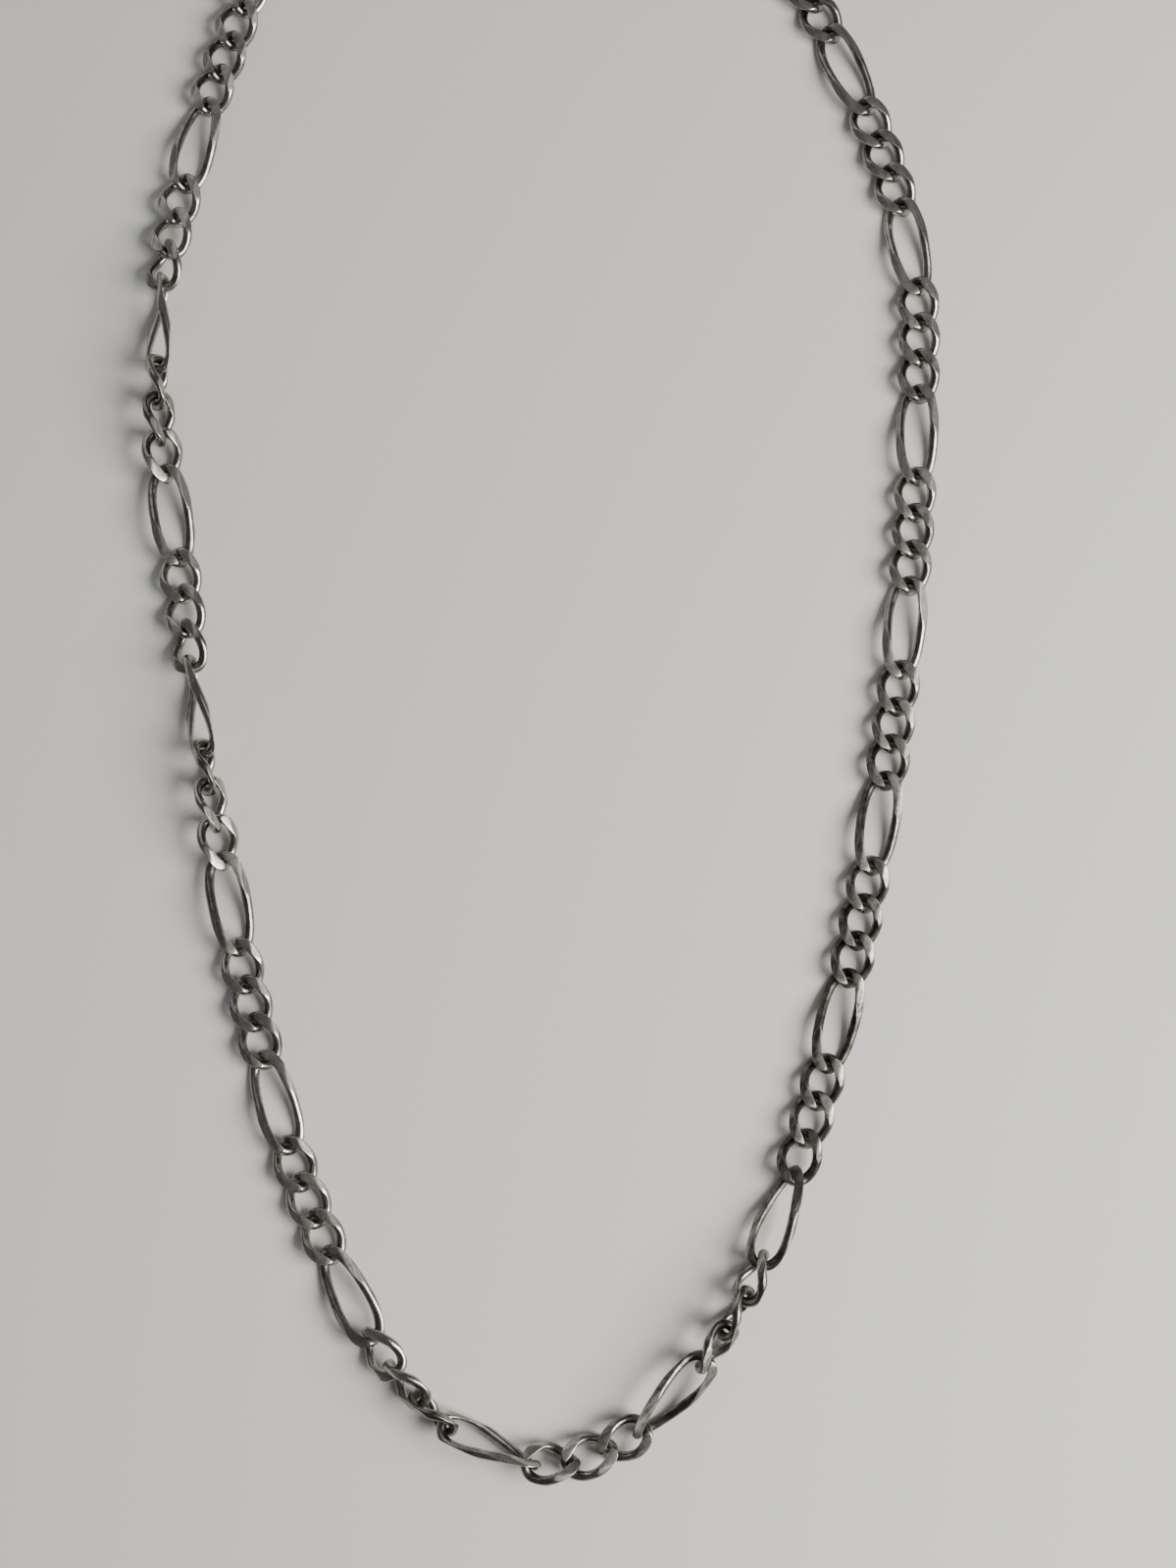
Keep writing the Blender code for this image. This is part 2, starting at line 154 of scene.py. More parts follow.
def link_surface(is_long, filed_slopes):
    """One link's surface and its points' marks, in the link's own frame.

    The first parameter goes round the oval, in shorter steps at its two ends. The second goes round the
    wire, counted from the side that faces up most steeply, and each filed flat ends on a row of its points.
    Where metal is filed off, the wire is pressed wider, in proportion to the height taken off. Points beyond
    the bevel planes, which lean outwards on both limbs, above and below, are moved square onto those planes.
    Then points beyond the filed planes, above and below, are brought back to them, less a slight camber.
    The slopes say how far each filed plane leans along the link and across it.
    """
    reach = half_length(is_long)
    segments = LONG_SEGMENTS if is_long else SHORT_SEGMENTS
    step = np.arange(segments) * 2 * math.pi / segments
    turn = step - END_CROWDING / 2 * np.sin(2 * step)
    middle = link_middle(turn, reach)
    along = unit(link_middle(turn + SMALL_TURN, reach) - link_middle(turn - SMALL_TURN, reach))
    up = unit(np.array([0, 0, 1.0]) - along * along[:, 2:3])
    side = np.cross(along, up)

    radius = WIRE / 2
    steep = radius * up[:, 2]
    top_plane = FILED_HALF_HEIGHT + middle[:, :2] @ np.array(filed_slopes[0])
    bottom_plane = FILED_HALF_HEIGHT + middle[:, :2] @ np.array(filed_slopes[1])
    to_top = (top_plane - middle[:, 2]) / steep
    to_bottom = (bottom_plane + middle[:, 2]) / steep
    flat_top = np.arccos(np.clip(to_top, -1, 1))
    flat_bottom = np.arccos(np.clip(to_bottom, -1, 1))
    top = np.maximum(flat_top, LEAST_FLAT)[:, None]
    bottom = np.maximum(flat_bottom, LEAST_FLAT)[:, None]
    across_flat = np.linspace(-1, 1, FLAT_POINTS)[None, :]
    down_side = np.linspace(0, 1, SIDE_POINTS)[None, :]
    first = top + WORN_EDGE
    last = math.pi - bottom - WORN_EDGE
    angle = np.concatenate(
        [
            across_flat * (top - WORN_EDGE),
            first + (last - first) * down_side,
            math.pi + across_flat * (bottom - WORN_EDGE),
            -last + (last - first) * down_side,
        ],
        axis=1,
    )
    rounds = np.cos(angle)[..., None] * up[:, None] + np.sin(angle)[..., None] * side[:, None]
    points = middle[:, None] + radius * rounds
    off_top = np.maximum(steep * (1 - to_top), 0)
    off_bottom = np.maximum(steep * (1 - to_bottom), 0)
    wider = PRESSED_WIDER * (off_top + off_bottom) / radius
    points += side[:, None] * (radius * np.sin(angle) * wider[:, None])[..., None]

    limb = np.sign(middle[:, 1])
    outward = limb * math.sin(BEVEL_LEAN)
    upright = np.full(segments, math.cos(BEVEL_LEAN))
    bevelled = np.zeros(angle.shape)
    ridge = np.zeros(angle.shape)
    for face in (1, -1):
        normal = np.stack([0 * limb, outward, face * upright], axis=-1)
        beyond = np.einsum("ijk,ik->ij", points, normal) - BEVEL_REACH
        points -= np.maximum(beyond, 0)[..., None] * normal[:, None]
        bevelled = np.maximum(bevelled, np.clip(beyond / BEVEL_MARK_OVER, 0, 1))
        ridge = np.maximum(ridge, 1 - np.abs(beyond - RIDGE_AT) / RIDGE_HALF_WIDTH)

    shallow = np.exp(-(off_top + off_bottom) / CAMBER_FADES_OVER)[:, None]
    camber = CAMBER_ACROSS * np.sin(angle) ** 2 + CAMBER_ALONG * shallow
    slope_top = points[..., :2] @ np.array(filed_slopes[0])
    slope_bottom = points[..., :2] @ np.array(filed_slopes[1])
    points[..., 2] = np.minimum(points[..., 2], FILED_HALF_HEIGHT + slope_top - camber)
    points[..., 2] = np.maximum(points[..., 2], -FILED_HALF_HEIGHT - slope_bottom + camber)

    count = angle.shape[1]
    row = np.arange(count)
    on_top = row < FLAT_POINTS
    on_bottom = (row >= FLAT_POINTS + SIDE_POINTS) & (row < 2 * FLAT_POINTS + SIDE_POINTS)
    filed = np.where(on_top, flat_top[:, None] > LEAST_FLAT, False)
    filed = np.where(on_bottom, flat_bottom[:, None] > LEAST_FLAT, filed)
    borders = (0, FLAT_POINTS - 1, FLAT_POINTS, FLAT_POINTS + SIDE_POINTS - 1)
    border = np.isin(row % (FLAT_POINTS + SIDE_POINTS), borders)
    near_flat = np.where(row < FLAT_POINTS + SIDE_POINTS / 2, flat_top[:, None], flat_bottom[:, None])
    near_flat = np.where(row > count - SIDE_POINTS / 2, flat_top[:, None], near_flat)
    edge = border & (near_flat > LEAST_FLAT)
    inward = -np.einsum("ijk,ik->ij", rounds, unit(middle * RECESS_FLATTENED))
    crossing = np.clip(np.abs(points[..., 0]) / reach * CROSSING_GAIN - CROSSING_FROM, 0, 1)
    marks = {
        "filed": np.maximum(filed, bevelled),
        "edge": np.maximum(edge, ridge),
        "recess": np.clip(inward * RECESS_GAIN + RECESS_LIFT, 0, 1) * crossing,
    }
    return points, marks


def band_faces(rows, columns, rows_join=True):
    """The quads of a grid whose columns close on themselves, and whose rows do too if they join."""
    i = np.arange(rows if rows_join else rows - 1)[:, None]
    j = np.arange(columns)[None, :]
    k, m = (i + 1) % rows, (j + 1) % columns
    corners = (i * columns + j, k * columns + j, k * columns + m, i * columns + m)
    return np.stack(corners, axis=-1).reshape(-1, 4)


def put(name, grid, finish, body, nodes=(), rows_join=True, marks=None, sharp=None):
    """A closed surface from a grid of points: a ring of rings, or a tube with a cap at each end."""
    rows, columns = grid.shape[:2]
    faces = band_faces(rows, columns, rows_join)
    points = grid.reshape(-1, 3)
    corner = points[faces]
    middle = corner.mean(axis=1) - points.mean(axis=0)
    turned = np.cross(corner[:, 2] - corner[:, 0], corner[:, 3] - corner[:, 1])
    inside_out = (middle * turned).sum() < 0
    faces = faces.tolist()
    if not rows_join:
        faces += [list(range(columns))[::-1], list(range((rows - 1) * columns, rows * columns))]
    if inside_out:
        faces = [face[::-1] for face in faces]
    mesh = bpy.data.meshes.new(name)
    mesh.from_pydata(points.tolist(), [], faces)
    for mark, values in (marks or {}).items():
        kind = "FLOAT_VECTOR" if values.ndim == 3 else "FLOAT"
        attribute = mesh.attributes.new(mark, kind, "POINT")
        field = "vector" if values.ndim == 3 else "value"
        attribute.data.foreach_set(field, np.ascontiguousarray(values, np.float32).ravel())
    mesh.shade_smooth()
    if sharp:
        mesh.set_sharp_from_angle(angle=sharp)
    mesh.materials.append(finish)
    piece = bpy.data.objects.new(name, mesh)
    bpy.context.scene.collection.objects.link(piece)
    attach(piece, body)
    if nodes:
        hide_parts(*nodes)
    return piece


class Signal:
    """One socket of a finish's shader. Arithmetic on it adds Math nodes."""

    def __init__(self, tree, socket=None):
        self.tree = tree
        self.socket = socket

    def node(self, kind, settings=None, inputs=None, output=0):
        """Any node: its type, then its settings, then the values or links of its sockets."""
        made = self.tree.nodes.new(kind)
        for name, value in (settings or {}).items():
            setattr(made, name, value)
        for name, value in (inputs or {}).items():
            if isinstance(value, Signal):
                self.tree.links.new(value.socket, made.inputs[name])
            else:
                made.inputs[name].default_value = value
        return Signal(self.tree, made.outputs[output])

    def math(self, operation, *values):
        return self.node("ShaderNodeMath", {"operation": operation}, dict(enumerate(values)))

    def __add__(self, other):
        return self.math("ADD", self, other)

    def __sub__(self, other):
        return self.math("SUBTRACT", self, other)

    def __rsub__(self, other):
        return self.math("SUBTRACT", other, self)

    def __mul__(self, other):
        return self.math("MULTIPLY", self, other)

    def __pow__(self, other):
        return self.math("POWER", self, other)

    __radd__ = __add__
    __rmul__ = __mul__

    def between(self, low, high):
        """0 below low and 1 above high, with a smooth step between."""
        return self.node(
            "ShaderNodeMapRange",
            {"interpolation_type": "SMOOTHSTEP"},
            {"Value": self, "From Min": low, "From Max": high},
        )

    def blend(self, first, second):
        """The first colour where this is 0, and the second where it is 1."""
        return self.node(
            "ShaderNodeMix",
            {"data_type": "RGBA", "clamp_factor": True},
            {0: self, 6: first, 7: second},
            output=2,
        )

    def mark(self, name, output="Fac"):
        """A value that the mesh carries at its points."""
        return self.node("ShaderNodeAttribute", {"attribute_name": name}, output=output)

    def noise(self, where, scale, detail=3, stretch=(1, 1, 1), turn=(0, 0, 0)):
        """Cloudy noise from 0 to 1, drawn out along an axis by a small stretch there."""
        placed = self.node("ShaderNodeMapping", None, {"Vector": where, "Scale": stretch, "Rotation": turn})
        return self.node(
            "ShaderNodeTexNoise", None, {"Vector": placed, "Scale": scale, "Detail": detail, "Roughness": 0.6}
        )


DARK_TARNISH = (0.035, 0.032, 0.030, 1)
WARM_TARNISH = (0.110, 0.096, 0.081, 1)
RUBBED_SILVER = (0.640, 0.612, 0.565, 1)
WIRE_SHINE = 0.30
FLAT_SHINE = 0.32
EDGE_SHINE = 0.34
RECESS_LOSS = 0.74
TONE_WEIGHT = 0.20
DARK_ROUGHNESS = 0.27
FILE_MARKS_LIE = math.radians(38)
CROSS_MARKS_LIE = math.radians(17)


def silver_finish(name, on_links):
    """Oxidised silver: brown-black in the recesses, grey on the wire, brighter and scratched where rubbed."""
    finish = bpy.data.materials.new(name)
    finish.use_nodes = True
    tree = finish.node_tree
    shader = tree.nodes["Principled BSDF"]
    shader.inputs["Metallic"].default_value = 1
    start = Signal(tree)
    if on_links:
        where = start.mark("place_on_link", "Vector")
        filed = start.mark("filed")
        edge = start.mark("edge") ** 3
        recess = start.mark("recess")
        tone = start.mark("tone")
    else:
        coordinates = start.node("ShaderNodeTexCoord", output="Object")
        where = start.node("ShaderNodeVectorMath", {"operation": "SCALE"}, {0: coordinates, "Scale": 1 / MM})
        filed, edge, recess, tone = 0.0, 0.0, 0.0, 0.5
    clouds = start.noise(where, 0.55, 4)
    mottle = start.noise(where, 2.6, 5)
    specks = start.noise(where, 9.0, 3)
    file_marks = start.noise(where, 1.0, 4, stretch=(1.2, 13, 1.2), turn=(0, 0, FILE_MARKS_LIE))
    cross_marks = start.noise(where, 1.0, 3, stretch=(9, 0.9, 1), turn=(0, 0, CROSS_MARKS_LIE))
    dents = start.noise(where, 1.5, 2)

    wire_shine = clouds.between(0.28, 0.72) * 0.16 + mottle.between(0.30, 0.74) * 0.06 + WIRE_SHINE
    flat_shine = clouds.between(0.30, 0.70) * 0.16 + file_marks.between(0.34, 0.68) * 0.14 + FLAT_SHINE
    flat_shine = flat_shine + cross_marks.between(0.54, 0.64) * 0.10
    shine = wire_shine + (flat_shine - wire_shine) * filed + edge * EDGE_SHINE
    shine = shine + (tone - 0.5) * TONE_WEIGHT - specks.between(0.62, 0.72) * 0.06
    shine = shine * (1 - recess * RECESS_LOSS)
    tarnish = clouds.between(0.35, 0.65).blend(DARK_TARNISH, WARM_TARNISH)
    colour = shine.between(-0.02, 0.98).blend(tarnish, RUBBED_SILVER)
    roughness = DARK_ROUGHNESS - shine * 0.12 + filed * (file_marks * 0.08 + 0.07) + recess * 0.15
    roughness = roughness + (0.5 - tone) * 0.05

    scratches = file_marks * (0.04 + filed * 0.60) * 0.5 + cross_marks * filed * 0.25
    height = scratches + dents * 0.35 + specks * 0.03
    relief = start.node("ShaderNodeBump", None, {"Height": height, "Strength": 0.5, "Distance": 0.04 * MM})
    tree.links.new(colour.socket, shader.inputs["Base Color"])
    tree.links.new(roughness.socket, shader.inputs["Roughness"])
    tree.links.new(relief.socket, shader.inputs["Normal"])
    return finish


link_silver = silver_finish("oxidised silver links", True)

kinds = [
    (pattern, number)
    for pattern in range(1, PATTERNS + 1)
    for number in range(1, SHORTS_IN_PATTERN + 2)
]
draws = np.random.default_rng(FILING_SEED)
surfaces = [
    link_surface(number > SHORTS_IN_PATTERN, draws.uniform(-1, 1, (2, 2)) * FILED_UNEVENLY)
    for _, number in kinds
]
rolls = np.zeros(len(kinds))
for first_link in HALF_TURNS_FROM:
    rolls[first_link : first_link + len(HALF_TURN_STEPS)] += HALF_TURN_STEPS
    rolls[first_link + len(HALF_TURN_STEPS) :] += math.pi

# The rings at the two ends lean, and their middles lie this high when they rest on the floor.
JUMP_WIRE = 0.85 * MM
JUMP_RADIUS = 2.35 * MM
JUMP_LEAN = math.radians(-62)
END_RING_WIRE = 1.1 * MM
END_RING_RADIUS = 2.5 * MM
END_RING_LEAN = math.radians(45)
RING_PLAY = 0.25 * MM
END_HEIGHTS = (
    JUMP_RADIUS * math.sin(abs(JUMP_LEAN)) + JUMP_WIRE / 2,
    END_RING_RADIUS * math.sin(END_RING_LEAN) + END_RING_WIRE / 2,
)

# Each link lies as low as its roll lets it, and two that meet share the higher one's height.
heights = []
for (rings, _), roll in zip(surfaces, rolls):
    heights.append(-(rings[..., 1] * math.sin(roll) + rings[..., 2] * math.cos(roll)).min())
meeting_heights = LOWEST + np.maximum(heights + [END_HEIGHTS[1]], [END_HEIGHTS[0]] + heights)

line = curve_through(ROUTE, ROUTE_STEPS) - FRAME_MIDDLE
at = int(np.argmax(np.linalg.norm(line - line[0], axis=1) >= ROUTE_START))
meets = [np.append(line[at], meeting_heights[0])]
for (_, number), low, high in zip(kinds, meeting_heights, meeting_heights[1:]):
    pitch = LONG_PITCH if number > SHORTS_IN_PATTERN else SHORT_PITCH
    advance = math.sqrt(pitch**2 - (high - low) ** 2)
    here = meets[-1][:2]
    at += int(np.argmax(np.linalg.norm(line[at:] - here, axis=1) >= advance))
    meets.append(np.append(here + unit(line[at] - here) * advance, high))


def turned(along, roll):
    """The axes, as columns, of something laid along a direction and rolled about it."""
    across = unit(np.cross([0, 0, 1.0], along))
    above = np.cross(along, across)
    c, s = math.cos(roll), math.sin(roll)
    return np.stack([along, across * c + above * s, above * c - across * s], axis=-1)


# Links differ a little in tone, and those low on the right side of the U are the most tarnished. The pattern
# of the finish starts at a different place on each link.
GOLDEN_SHARE = 0.6180339887
MOST_TARNISHED = 1.3
TARNISHED_LINK = 47
TARNISHED_SPREAD = 9
PATTERN_STARTS = np.array([37.0, 11.0, 5.0])

link_axes = []
link_centres = []
for order, ((pattern, number), roll) in enumerate(zip(kinds, rolls)):
    is_long = number > SHORTS_IN_PATTERN
    axes = turned(unit(meets[order + 1] - meets[order]), roll)
    centre = (meets[order] + meets[order + 1]) / 2
    link_axes.append(axes)
    link_centres.append(centre)
    if is_long:
        node = f"long_link_{pattern:02}"
        name = f"figaro_{pattern:02}_long"
    elif pattern in WHOLE_TRIOS:
        node = f"short_trio_{pattern:02}"
        name = f"figaro_{pattern:02}_short_{number}"
    else:
        node = f"short_link_{pattern:02}" if number == 1 else f"short_pair_{pattern:02}"
        name = f"figaro_{pattern:02}_short_{number}"
    points, marks = surfaces[order]
    spread = math.fmod(order * GOLDEN_SHARE, 1)
    tone = spread - MOST_TARNISHED * math.exp(-(((order - TARNISHED_LINK) / TARNISHED_SPREAD) ** 2))
    marks["tone"] = np.full(points.shape[:2], tone)
    marks["place_on_link"] = points / MM + PATTERN_STARTS * (spread, order, 1)
    put(name, points @ axes.T + centre, link_silver, node, [node], marks=marks)

# ---------------------------------------------------------------------------------------------------------
# The two end rings: round silver wire bent into rings. The jump ring at the left end is only pinched shut,
# so a hairline gap shows. The ring that the clasp hooks into, at the right end, is soldered.
# ---------------------------------------------------------------------------------------------------------
RING_STEPS = 96
RING_SIDES = 24
JUMP_GAP = math.radians(2)
ring_silver = silver_finish("oxidised silver rings", False)


def wire_ring(radius, wire, centre, axes, gap=0.0):
    """A torus: a circle of the wire's radius carried round a circle, from one side of a gap to the other."""
    turn = np.linspace(gap / 2, 2 * math.pi - gap / 2, RING_STEPS, endpoint=gap > 0) + math.pi / 2
    angle = np.arange(RING_SIDES) * 2 * math.pi / RING_SIDES
    reach = radius + wire / 2 * np.cos(angle)[None, :]
    height = np.broadcast_to(wire / 2 * np.sin(angle)[None, :], (RING_STEPS, RING_SIDES))
    flat = np.stack([np.cos(turn)[:, None] * reach, np.sin(turn)[:, None] * reach, height], axis=-1)
    return flat @ axes.T + centre


def leaned(axes, lean):
    """The same axes, turned about the first of them."""
    c, s = math.cos(lean), math.sin(lean)
    return axes @ np.array([[1, 0, 0], [0, c, -s], [0, s, c]])


first_axes, first_centre = link_axes[0], link_centres[0]
jump_axes = leaned(first_axes, JUMP_LEAN)
outward = JUMP_RADIUS - (FRAME_WIRE + JUMP_WIRE) / 2 - RING_PLAY
jump_centre = first_centre - first_axes[:, 0] * (half_length(False) + outward)
put(
    "jump_ring", wire_ring(JUMP_RADIUS, JUMP_WIRE, jump_centre, jump_axes, JUMP_GAP), ring_silver,
    "clasp_jump_ring", ["clasp_jump_ring"], rows_join=False, sharp=math.radians(50),
)
last_axes, last_centre = link_axes[-1], link_centres[-1]
outward = END_RING_RADIUS - (FRAME_WIRE + END_RING_WIRE) / 2 - RING_PLAY
end_centre = last_centre + last_axes[:, 0] * (half_length(True) + outward)
put(
    "soldered_end_ring",
    wire_ring(END_RING_RADIUS, END_RING_WIRE, end_centre, leaned(last_axes, END_RING_LEAN)),
    ring_silver, "end_ring", ["end_ring"],
)

# ---------------------------------------------------------------------------------------------------------
# The lobster-claw clasp: a cast silver body whose claw curls round to a tip, slotted through its thick part
# for the lever. Its eye hangs in the jump ring.
# ---------------------------------------------------------------------------------------------------------
EYE_RADIUS = 1.7 * MM
EYE_WIRE = 0.9 * MM
CLASP_DROOP = math.radians(8.3)
SLOT_HALF_HEIGHT = 0.65 * MM
SLOT_FLOOR = -1.45 * MM
SLOT_SPAN = (2.5 * MM, 7.4 * MM)
SLOT_OPENS_OVER = (0.3 * MM, 0.5 * MM)
MOST_LIP = 0.55
CLAW = np.array((
    (1.5, 0.0, 0.7, 0.6), (2.4, 0.0, 1.7, 1.15), (3.6, -0.2, 2.15, 1.35), (5.3, -1.0, 1.95, 1.35),
    (7.3, -2.0, 1.15, 1.15), (9.3, -2.45, 0.85, 0.95), (11.2, -1.75, 0.8, 0.85), (12.1, -0.1, 0.75, 0.8),
    (11.6, 1.5, 0.65, 0.7), (10.6, 2.1, 0.4, 0.5),
)) * MM
CLAW_STEPS = 90
CLAW_ROUND_POINTS = 28
NOTCH_POINTS = 6
TIP_ROUNDING = 0.45 * MM
TIP_LEAST_SHARE = 0.02

ring_far_side = jump_centre - jump_axes[:, 0] * JUMP_RADIUS
heading = unit(np.array([first_axes[0, 0], first_axes[1, 0], 0]))
droop_c, droop_s = math.cos(CLASP_DROOP), math.sin(CLASP_DROOP)
clasp_x = -heading * droop_c - np.array([0, 0, droop_s])
clasp_y = np.cross([0, 0, 1.0], -heading)
clasp_axes = np.stack([clasp_x, clasp_y, np.cross(clasp_x, clasp_y)], axis=-1)
to_eye = EYE_RADIUS - (JUMP_WIRE + EYE_WIRE) / 2 - RING_PLAY
clasp_centre = ring_far_side + clasp_axes[:, 0] * to_eye


def horn_lines(rows, steps):
    """A horn's middle line, sideways direction, half widths and half thicknesses, rounded off at its ends.

    A row holds X, Y, half width and half thickness, and a smooth curve runs through the rows. Within the
    rounding of each end both halves shrink as a circle's do, and stop a small share short of nothing.
    """
    smooth = curve_through(rows, steps)
    middle = smooth[:, :2]
    along = unit(np.gradient(middle, axis=0))
    side = np.stack([-along[:, 1], along[:, 0]], axis=-1)
    travelled = np.concatenate([[0], np.cumsum(np.linalg.norm(np.diff(middle, axis=0), axis=1))])
    from_end = np.minimum(travelled, travelled[-1] - travelled)
    depth = 1 - np.clip(from_end / TIP_ROUNDING, TIP_LEAST_SHARE, 1)
    shrink = np.sqrt(1 - depth**2)
    return middle, side, smooth[:, 2] * shrink, smooth[:, 3] * shrink


def in_place(middle, side, width, thickness):
    """Section points, as widths along the side and thicknesses up, carried along a line in the clasp."""
    plan = middle[:, None] + side[:, None] * width[..., None]
    return np.concatenate([plan, thickness[..., None]], axis=-1) @ clasp_axes.T + clasp_centre


def slotted_claw():
    """An ellipse carried along the claw, with a square notch let into its inner side where the slot is.

    Each section goes round the ellipse from one lip of the notch to the other, then down one wall of the
    notch, over its floor and up the other. Away from the slot, the floor lies level with the lips.
    """
    middle, side, half_width, half_thick = horn_lines(CLAW, CLAW_STEPS)
    lip_thick = np.minimum(SLOT_HALF_HEIGHT, MOST_LIP * half_thick)
    lip = np.arcsin(lip_thick / half_thick)
    lip_width = half_width * np.cos(lip)
    x = middle[:, 0]
    from_start = np.clip((x - SLOT_SPAN[0]) / SLOT_OPENS_OVER[0], 0, 1)
    from_far_end = np.clip((SLOT_SPAN[1] - x) / SLOT_OPENS_OVER[1], 0, 1)
    before_tip = np.arange(CLAW_STEPS) < CLAW_STEPS / 2
    opens = from_start * from_far_end * before_tip
    floor = (SLOT_FLOOR - middle[:, 1]) / side[:, 1]
    floor = lip_width + (np.minimum(floor, lip_width) - lip_width) * opens
    round_part = np.linspace(0, 1, CLAW_ROUND_POINTS)[None, :]
    angle = lip[:, None] + (2 * math.pi - 2 * lip[:, None]) * round_part
    wall = np.linspace(0, 1, NOTCH_POINTS)[None, 1:-1]
    fall = lip_width[:, None] + (floor - lip_width)[:, None] * wall
    across = np.linspace(-1, 1, NOTCH_POINTS)[None, :] * lip_thick[:, None]
    width = np.concatenate(
        [half_width[:, None] * np.cos(angle), fall, floor[:, None] + 0 * across, fall[:, ::-1]], axis=1
    )
    thickness = np.concatenate(
        [
            half_thick[:, None] * np.sin(angle),
            -lip_thick[:, None] + 0 * fall,
            across,
            lip_thick[:, None] + 0 * fall,
        ],
        axis=1,
    )
    return in_place(middle, side, width, thickness)


put(
    "clasp_claw", slotted_claw(), ring_silver, "clasp_body", ["clasp_body"],
    rows_join=False, sharp=math.radians(38),
)
put(
    "clasp_eye", wire_ring(EYE_RADIUS, EYE_WIRE, clasp_centre, clasp_axes), ring_silver, "clasp_body",
)

# ---------------------------------------------------------------------------------------------------------
# The clasp's lever: a cast silver arm that closes the claw from inside, with a thumb piece that stands out
# beside the body. It turns on the rivet, and a spring pushes it shut against the claw's tip.
# ---------------------------------------------------------------------------------------------------------
PIVOT = (3.4 * MM, 0.25 * MM)
HUB_RADIUS = 0.9 * MM
HUB_THICKNESS = 0.9 * MM
LEVER_ARM = np.array((
    (3.4, 0.25, 0.7, 0.45), (5.0, 1.05, 0.65, 0.5), (7.4, 1.45, 0.5, 0.5), (9.4, 1.3, 0.42, 0.45),
    (10.75, 1.0, 0.3, 0.35),
)) * MM
LEVER_THUMB = np.array((
    (4.6, 1.0, 0.5, 0.45), (4.3, 2.2, 0.45, 0.45), (3.9, 3.1, 0.5, 0.5), (3.75, 3.45, 0.3, 0.35),
)) * MM
HORN_SIDES = 40
HUB_EDGE = 0.08 * MM


def plain_horn(rows, steps):
    """An ellipse carried along a horn's middle line."""
    middle, side, half_width, half_thick = horn_lines(rows, steps)
    angle = np.arange(HORN_SIDES) * 2 * math.pi / HORN_SIDES
    width = half_width[:, None] * np.cos(angle)
    thickness = half_thick[:, None] * np.sin(angle)
    return in_place(middle, side, width, thickness)


def turned_piece(profile, at, sides=48):
    """A profile of radii and heights carried round a line square to the clasp's plane."""
    radius, height = np.array(profile).T
    angle = np.arange(sides) * 2 * math.pi / sides
    ring = np.stack(
        [
            at[0] + radius[:, None] * np.cos(angle),
            at[1] + radius[:, None] * np.sin(angle),
            height[:, None] + 0 * angle,
        ],
        axis=-1,
    )
    return ring @ clasp_axes.T + clasp_centre


put(
    "lever_arm", plain_horn(LEVER_ARM, 60), ring_silver, "clasp_lever", ["clasp_lever"],
    rows_join=False, sharp=math.radians(60),
)
put(
    "lever_thumb_piece", plain_horn(LEVER_THUMB, 40), ring_silver, "clasp_lever",
    rows_join=False, sharp=math.radians(60),
)
half_hub = HUB_THICKNESS / 2
hub_profile = (
    (HUB_RADIUS - HUB_EDGE, -half_hub), (HUB_RADIUS, -half_hub + HUB_EDGE),
    (HUB_RADIUS, half_hub - HUB_EDGE), (HUB_RADIUS - HUB_EDGE, half_hub),
)
put(
    "lever_hub", turned_piece(hub_profile, PIVOT), ring_silver, "clasp_lever",
    rows_join=False, sharp=math.radians(30),
)

# ---------------------------------------------------------------------------------------------------------
# The clasp's steel: a rivet peened at both ends, which the lever turns on, and a small coil spring between
# the lever and the floor of the slot.
# ---------------------------------------------------------------------------------------------------------
RIVET_RADIUS = 0.35 * MM
RIVET_HALF_LENGTH = 1.36 * MM
RIVET_HEAD = 0.52 * MM
RIVET_DOME = 0.12 * MM
SPRING_AT = (5.3 * MM, -1.15 * MM)
SPRING_LENGTH = 1.25 * MM
SPRING_RADIUS = 0.4 * MM
SPRING_WIRE = 0.16 * MM
SPRING_TURNS = 4
STEEL = (0.33, 0.33, 0.34, 1)
DULL_STEEL = (0.14, 0.135, 0.13, 1)


def steel_finish():
    """Spring steel: a drawn grey wire, dulled in patches."""
    finish = bpy.data.materials.new("spring steel wire")
    finish.use_nodes = True
    tree = finish.node_tree
    shader = tree.nodes["Principled BSDF"]
    shader.inputs["Metallic"].default_value = 1
    start = Signal(tree)
    coordinates = start.node("ShaderNodeTexCoord", output="Object")
    where = start.node("ShaderNodeVectorMath", {"operation": "SCALE"}, {0: coordinates, "Scale": 1 / MM})
    patches = start.noise(where, 3.0, 4)
    colour = patches.between(0.35, 0.65).blend(DULL_STEEL, STEEL)
    tree.links.new(colour.socket, shader.inputs["Base Color"])
    tree.links.new((0.5 - patches * 0.25).socket, shader.inputs["Roughness"])
    return finish


steel = steel_finish()
dome = np.radians(np.linspace(88, 0, 8))
head = [(RIVET_HEAD * math.cos(a), RIVET_HALF_LENGTH + RIVET_DOME * math.sin(a)) for a in dome]
rivet_profile = [(r, -h) for r, h in head] + [(RIVET_RADIUS, 0.0)] + head[::-1]
put(
    "clasp_rivet_peened", turned_piece(rivet_profile, PIVOT), steel, "clasp_body",
    ["clasp_rivet"], rows_join=False, sharp=math.radians(50),
)


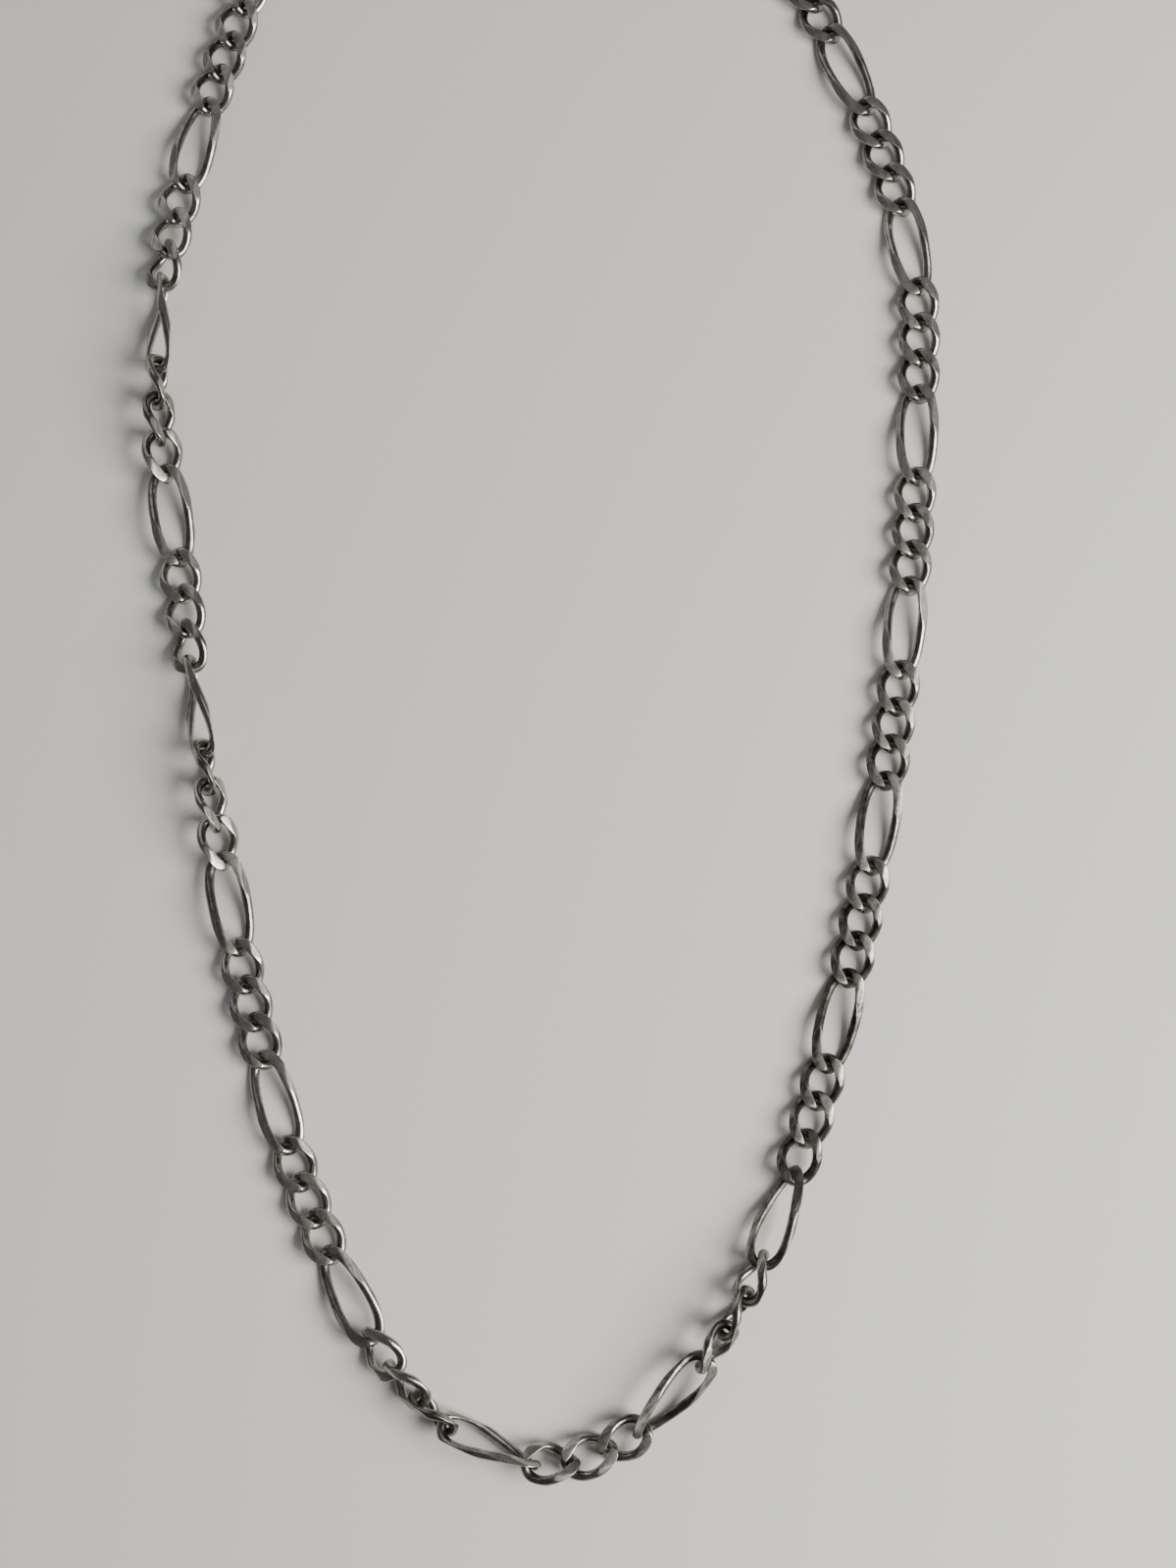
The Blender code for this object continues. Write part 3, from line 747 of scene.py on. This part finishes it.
def spring_coil(steps=160, sides=10):
    """A helix about the clasp's Y, with a circle of the spring wire's radius carried along it."""
    turn = np.linspace(0, SPRING_TURNS * 2 * math.pi, steps)
    rise = SPRING_WIRE / 2 + np.linspace(0, SPRING_LENGTH - SPRING_WIRE, steps)
    angle = np.arange(sides) * 2 * math.pi / sides
    radius = SPRING_RADIUS + SPRING_WIRE / 2 * np.cos(angle)[None, :]
    coil = np.stack(
        [
            SPRING_AT[0] + np.cos(turn)[:, None] * radius,
            SPRING_AT[1] + rise[:, None] + SPRING_WIRE / 2 * np.sin(angle)[None, :],
            np.sin(turn)[:, None] * radius,
        ],
        axis=-1,
    )
    return coil @ clasp_axes.T + clasp_centre


spring = put(
    "clasp_spring_coil", spring_coil(), steel, "clasp_body", ["clasp_spring"],
    rows_join=False, sharp=math.radians(60),
)
anchor = clasp_centre + clasp_axes @ np.array([SPRING_AT[0], SPRING_AT[1], 0])
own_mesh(spring)

# ---------------------------------------------------------------------------------------------------------
# The floor that the necklace lies on: one plain pale matt square, far wider than the view.
# ---------------------------------------------------------------------------------------------------------
FLOOR_SIDE = 3.0
PALE = (0.66, 0.65, 0.62, 1)
floor_mesh = bpy.data.meshes.new("floor")
half_floor = FLOOR_SIDE / 2
floor_mesh.from_pydata(
    [(-half_floor, -half_floor, 0), (half_floor, -half_floor, 0), (half_floor, half_floor, 0),
     (-half_floor, half_floor, 0)],
    [],
    [(0, 1, 2, 3)],
)
floor = bpy.data.objects.new("floor", floor_mesh)
bpy.context.scene.collection.objects.link(floor)
floor_finish = bpy.data.materials.new("pale floor")
floor_finish.use_nodes = True
floor_shader = floor_finish.node_tree.nodes["Principled BSDF"]
floor_shader.inputs["Base Color"].default_value = PALE
floor_shader.inputs["Roughness"].default_value = 0.9
floor_mesh.materials.append(floor_finish)

# ---------------------------------------------------------------------------------------------------------
# Soft studio light: a large window-like lamp low on the right, a weak soft box over it, a broad cool fill
# from the far left, and a dim even surround.
# ---------------------------------------------------------------------------------------------------------
SURROUND = (0.93, 0.95, 1.0, 1)
SURROUND_STRENGTH = 0.13
VIEW_TARGET = Vector((7.6 * MM, -54.9 * MM, 0))

world = bpy.data.worlds.new("studio")
bpy.context.scene.world = world
world.use_nodes = True
world.node_tree.nodes["Background"].inputs["Color"].default_value = SURROUND
world.node_tree.nodes["Background"].inputs["Strength"].default_value = SURROUND_STRENGTH


def soft_light(name, place, side, power, colour):
    """A square soft lamp, aimed at the middle of the view."""
    lamp = bpy.data.lights.new(name, "AREA")
    lamp.size = side
    lamp.energy = power
    lamp.color = colour
    holder = bpy.data.objects.new(name, lamp)
    holder.location = place
    holder.rotation_euler = (VIEW_TARGET - Vector(place)).to_track_quat("-Z", "Y").to_euler()
    bpy.context.scene.collection.objects.link(holder)


soft_light("window light", (0.52, -0.25, 0.41), 0.44, 10.2, (1.0, 0.985, 0.955))
soft_light("overhead soft box", (0.40, -0.05, 0.80), 0.50, 0.65, (1.0, 0.99, 0.97))
soft_light("far fill", (-0.35, 0.75, 0.60), 0.90, 1.7, (0.96, 0.97, 1.0))

# ---------------------------------------------------------------------------------------------------------
# The camera: almost straight above the lower part of the U, which it looks down on from close by.
# ---------------------------------------------------------------------------------------------------------
CAMERA_ELEVATION = math.radians(82)
CAMERA_DISTANCE = 388 * MM
CAMERA_LONG_SIDE = math.radians(36)
camera_data = bpy.data.cameras.new("camera")
camera_data.angle = CAMERA_LONG_SIDE
camera_data.clip_start = 0.01
camera = bpy.data.objects.new("camera", camera_data)
back = Vector((0, -math.cos(CAMERA_ELEVATION), math.sin(CAMERA_ELEVATION)))
camera.location = VIEW_TARGET + back * CAMERA_DISTANCE
camera.rotation_euler = (-back).to_track_quat("-Z", "Y").to_euler()
bpy.context.scene.collection.objects.link(camera)
bpy.context.scene.camera = camera
